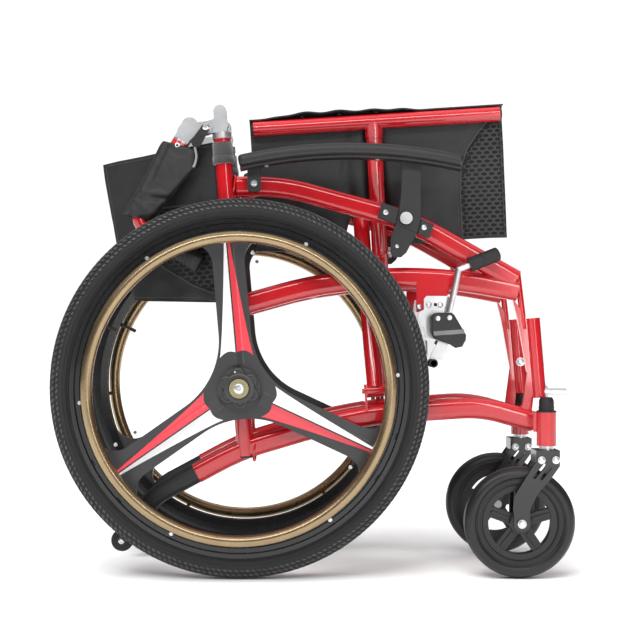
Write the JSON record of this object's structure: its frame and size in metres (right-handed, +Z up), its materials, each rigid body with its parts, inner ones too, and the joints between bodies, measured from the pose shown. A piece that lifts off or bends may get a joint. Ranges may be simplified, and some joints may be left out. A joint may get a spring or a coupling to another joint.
{
  "type": "manual wheelchair",
  "caption": "Folding self-propelled wheelchair with cross frame, spoked rear wheels with push rims, front casters, flip-up armrests and folding back, stored folded.",
  "frame": {"origin": "on the floor, under the centre of the folded chair's bounding box", "axes": "+X forwards, +Y to the chair's left, +Z up"},
  "size_m": [0.8449, 0.319, 0.7782],
  "materials": {
    "frame_red": "gloss",
    "zinc": "satin",
    "cast_silver": "satin",
    "black_plastic": "matte",
    "black_rubber": "matte",
    "wheel_grey": "satin",
    "tyre": "matte",
    "handrim_gold": "satin anodised",
    "hub_brass": "satin",
    "fork_black": "satin",
    "caster_grey": "satin",
    "arm_foam": "matte",
    "cloth": "matte"
  },
  "bodies": {
    "frame_right": {"side_frame_right": "frame_red", "front_fittings_right": "zinc", "anti_tip_tube_right": "black_plastic", "arm_mount_right": "fork_black", "brake_body_right": "zinc", "hinge_lower_right": "cast_silver"},
    "wheel_right": {"rear_wheel_right": "wheel_grey", "rear_tyre_right": "tyre", "handrim_right": "handrim_gold", "rear_axle_right": "hub_brass"},
    "axle_button_right": {"axle_button_right": "zinc"},
    "anti_tip_right": {"anti_tip_wheel_right": "black_rubber"},
    "caster_swivel_right": {"caster_fork_right": "fork_black"},
    "caster_wheel_right": {"caster_rim_right": "caster_grey", "caster_tyre_right": "tyre"},
    "arm_right": {"arm_frame_right": "fork_black", "arm_pad_right": "arm_foam"},
    "arm_button_right": {"arm_button_right": "zinc"},
    "lock_lever_right": {"brake_lever_right": "zinc", "brake_grip_right": "black_rubber"},
    "lock_shoe_right": {"brake_shoe_right": "zinc"},
    "back_fold_right": {"hinge_upper_right": "cast_silver", "upper_cane_right": "frame_red", "push_grip_right": "black_rubber"},
    "release_right": {"release_lever_right": "black_plastic"},
    "back_lower_right": {"back_lower_right": "cloth"},
    "back_upper_right": {"back_upper_right": "cloth"},
    "sling_right": {"seat_sling_right": "cloth"},
    "frame_left": {"side_frame_left": "frame_red", "front_fittings_left": "zinc", "anti_tip_tube_left": "black_plastic", "arm_mount_left": "fork_black", "brake_body_left": "zinc", "hinge_lower_left": "cast_silver"},
    "wheel_left": {"rear_wheel_left": "wheel_grey", "rear_tyre_left": "tyre", "handrim_left": "handrim_gold", "rear_axle_left": "hub_brass"},
    "axle_button_left": {"axle_button_left": "zinc"},
    "anti_tip_left": {"anti_tip_wheel_left": "black_rubber"},
    "caster_swivel_left": {"caster_fork_left": "fork_black"},
    "caster_wheel_left": {"caster_rim_left": "caster_grey", "caster_tyre_left": "tyre"},
    "arm_left": {"arm_frame_left": "fork_black", "arm_pad_left": "arm_foam"},
    "arm_button_left": {"arm_button_left": "zinc"},
    "lock_lever_left": {"brake_lever_left": "zinc", "brake_grip_left": "black_rubber"},
    "lock_shoe_left": {"brake_shoe_left": "zinc"},
    "back_fold_left": {"hinge_upper_left": "cast_silver", "upper_cane_left": "frame_red", "push_grip_left": "black_rubber"},
    "release_left": {"release_lever_left": "black_plastic"},
    "back_lower_left": {"back_lower_left": "cloth"},
    "back_upper_left": {"back_upper_left": "cloth"},
    "sling_left": {"seat_sling_left": "cloth"},
    "cross_b": {"cross_b": "frame_red", "cross_bolt": "zinc"},
    "cross_a": {"cross_a": "frame_red"}
  },
  "joints": [
    {"name": "fold", "type": "hinge", "parent": "frame_right", "child": "cross_b", "pos_m": [0.1175, -0.075, 0.3], "axis": [-0.998, 0, -0.0628], "range_deg": [0, 51]},
    {"name": "cross_scissor", "type": "hinge", "parent": "cross_b", "child": "cross_a", "pos_m": [0.10306, 0, 0.52955], "axis": [-0.998, 0, -0.0628], "range_deg": [-102, 0]},
    {"name": "fold_left_foot", "type": "hinge", "parent": "cross_a", "child": "frame_left", "pos_m": [0.1175, 0.075, 0.3], "axis": [-0.998, 0, -0.0628], "range_deg": [0, 51]},
    {"name": "rear_wheel_spin_right", "type": "hinge", "parent": "frame_right", "child": "wheel_right", "pos_m": [-0.1175, -0.112, 0.305], "axis": [0, 1, 0], "continuous": true},
    {"name": "axle_release_right", "type": "slide", "parent": "wheel_right", "child": "axle_button_right", "axis": [0, 1, 0], "range_m": [0, 0.003], "stiffness_N_per_m": 300},
    {"name": "anti_tip_spin_right", "type": "hinge", "parent": "frame_right", "child": "anti_tip_right", "pos_m": [-0.3115, -0.075, 0.054], "axis": [0, 1, 0], "continuous": true},
    {"name": "caster_swivel_right", "type": "hinge", "parent": "frame_right", "child": "caster_swivel_right", "pos_m": [0.3775, -0.11, 0.23], "axis": [0, 0, 1], "continuous": true},
    {"name": "caster_spin_right", "type": "hinge", "parent": "caster_swivel_right", "child": "caster_wheel_right", "pos_m": [0.3335, -0.11, 0.089], "axis": [0, 1, 0], "continuous": true},
    {"name": "arm_flip_right", "type": "hinge", "parent": "frame_right", "child": "arm_right", "pos_m": [-0.0947, -0.095, 0.636], "axis": [0, -1, 0], "range_deg": [0, 80]},
    {"name": "arm_lock_right", "type": "slide", "parent": "arm_right", "child": "arm_button_right", "axis": [0, 1, 0], "range_m": [0, 0.003], "stiffness_N_per_m": 300},
    {"name": "wheel_lock_right", "type": "hinge", "parent": "frame_right", "child": "lock_lever_right", "pos_m": [0.2205, -0.1005, 0.4183], "axis": [0, -1, 0], "range_deg": [0, 40]},
    {"name": "lock_shoe_swing_right", "type": "hinge", "parent": "frame_right", "child": "lock_shoe_right", "pos_m": [0.2205, -0.0977, 0.392], "axis": [0, -1, 0], "range_deg": [0, 14]},
    {"name": "back_unfold_right", "type": "hinge", "parent": "frame_right", "child": "back_fold_right", "pos_m": [-0.1735, -0.075, 0.73], "axis": [0, 1, 0], "range_deg": [0, 144.2]},
    {"name": "back_release_right", "type": "hinge", "parent": "frame_right", "child": "release_right", "pos_m": [-0.1735, -0.09, 0.73], "axis": [0, 1, 0], "range_deg": [0, 20], "stiffness_Nm_per_rad": 0.5},
    {"name": "back_cloth_low_right", "type": "slide", "parent": "frame_right", "child": "back_lower_right", "axis": [0.7714, 0.6337, 0.058], "range_m": [0, 0.2382], "deforming": ["back_lower_right"]},
    {"name": "back_cloth_high_right", "type": "slide", "parent": "back_fold_right", "child": "back_upper_right", "axis": [0, 1, 0], "range_m": [0, 0.2169], "deforming": ["back_upper_right"]},
    {"name": "sling_drop_right", "type": "hinge", "parent": "cross_a", "child": "sling_right", "pos_m": [0.08937, -0.035, 0.74712], "axis": [0.998, 0, 0.0628], "range_deg": [0, 29.31], "deforming": ["seat_sling_right"]},
    {"name": "rear_wheel_spin_left", "type": "hinge", "parent": "frame_left", "child": "wheel_left", "pos_m": [-0.1175, 0.112, 0.305], "axis": [0, 1, 0], "continuous": true},
    {"name": "axle_release_left", "type": "slide", "parent": "wheel_left", "child": "axle_button_left", "axis": [0, -1, 0], "range_m": [0, 0.003], "stiffness_N_per_m": 300},
    {"name": "anti_tip_spin_left", "type": "hinge", "parent": "frame_left", "child": "anti_tip_left", "pos_m": [-0.3115, 0.075, 0.054], "axis": [0, 1, 0], "continuous": true},
    {"name": "caster_swivel_left", "type": "hinge", "parent": "frame_left", "child": "caster_swivel_left", "pos_m": [0.3775, 0.11, 0.23], "axis": [0, 0, 1], "continuous": true},
    {"name": "caster_spin_left", "type": "hinge", "parent": "caster_swivel_left", "child": "caster_wheel_left", "pos_m": [0.3335, 0.11, 0.089], "axis": [0, 1, 0], "continuous": true},
    {"name": "arm_flip_left", "type": "hinge", "parent": "frame_left", "child": "arm_left", "pos_m": [-0.0947, 0.095, 0.636], "axis": [0, -1, 0], "range_deg": [0, 80]},
    {"name": "arm_lock_left", "type": "slide", "parent": "arm_left", "child": "arm_button_left", "axis": [0, -1, 0], "range_m": [0, 0.003], "stiffness_N_per_m": 300},
    {"name": "wheel_lock_left", "type": "hinge", "parent": "frame_left", "child": "lock_lever_left", "pos_m": [0.2205, 0.1005, 0.4183], "axis": [0, -1, 0], "range_deg": [0, 40]},
    {"name": "lock_shoe_swing_left", "type": "hinge", "parent": "frame_left", "child": "lock_shoe_left", "pos_m": [0.2205, 0.0977, 0.392], "axis": [0, -1, 0], "range_deg": [0, 14]},
    {"name": "back_unfold_left", "type": "hinge", "parent": "frame_left", "child": "back_fold_left", "pos_m": [-0.1735, 0.075, 0.73], "axis": [0, 1, 0], "range_deg": [0, 144.2]},
    {"name": "back_release_left", "type": "hinge", "parent": "frame_left", "child": "release_left", "pos_m": [-0.1735, 0.09, 0.73], "axis": [0, 1, 0], "range_deg": [0, 20], "stiffness_Nm_per_rad": 0.5},
    {"name": "back_cloth_low_left", "type": "slide", "parent": "frame_left", "child": "back_lower_left", "axis": [0.7714, -0.6337, 0.058], "range_m": [0, 0.2382], "deforming": ["back_lower_left"]},
    {"name": "back_cloth_high_left", "type": "slide", "parent": "back_fold_left", "child": "back_upper_left", "axis": [0, -1, 0], "range_m": [0, 0.2169], "deforming": ["back_upper_left"]},
    {"name": "sling_drop_left", "type": "hinge", "parent": "cross_b", "child": "sling_left", "pos_m": [0.08937, 0.035, 0.74712], "axis": [-0.998, 0, -0.0628], "range_deg": [0, 29.31], "deforming": ["seat_sling_left"]}
  ],
  "couplings": [
    {"joint": "cross_scissor", "follows": "fold", "ratio": -2},
    {"joint": "fold_left_foot", "follows": "fold", "ratio": 1},
    {"joint": "lock_shoe_swing_right", "follows": "wheel_lock_right", "ratio": 0.35},
    {"joint": "back_cloth_low_right", "follows": "fold", "m_per_rad": 0.26759},
    {"joint": "back_cloth_high_right", "follows": "fold", "m_per_rad": 0.24366},
    {"joint": "sling_drop_right", "follows": "fold", "ratio": 0.57459},
    {"joint": "lock_shoe_swing_left", "follows": "wheel_lock_left", "ratio": 0.35},
    {"joint": "back_cloth_low_left", "follows": "fold", "m_per_rad": 0.26759},
    {"joint": "back_cloth_high_left", "follows": "fold", "m_per_rad": 0.24366},
    {"joint": "sling_drop_left", "follows": "fold", "ratio": 0.57459},
    {"joint": "back_unfold_left", "follows": "back_unfold_right", "ratio": 1}
  ]
}
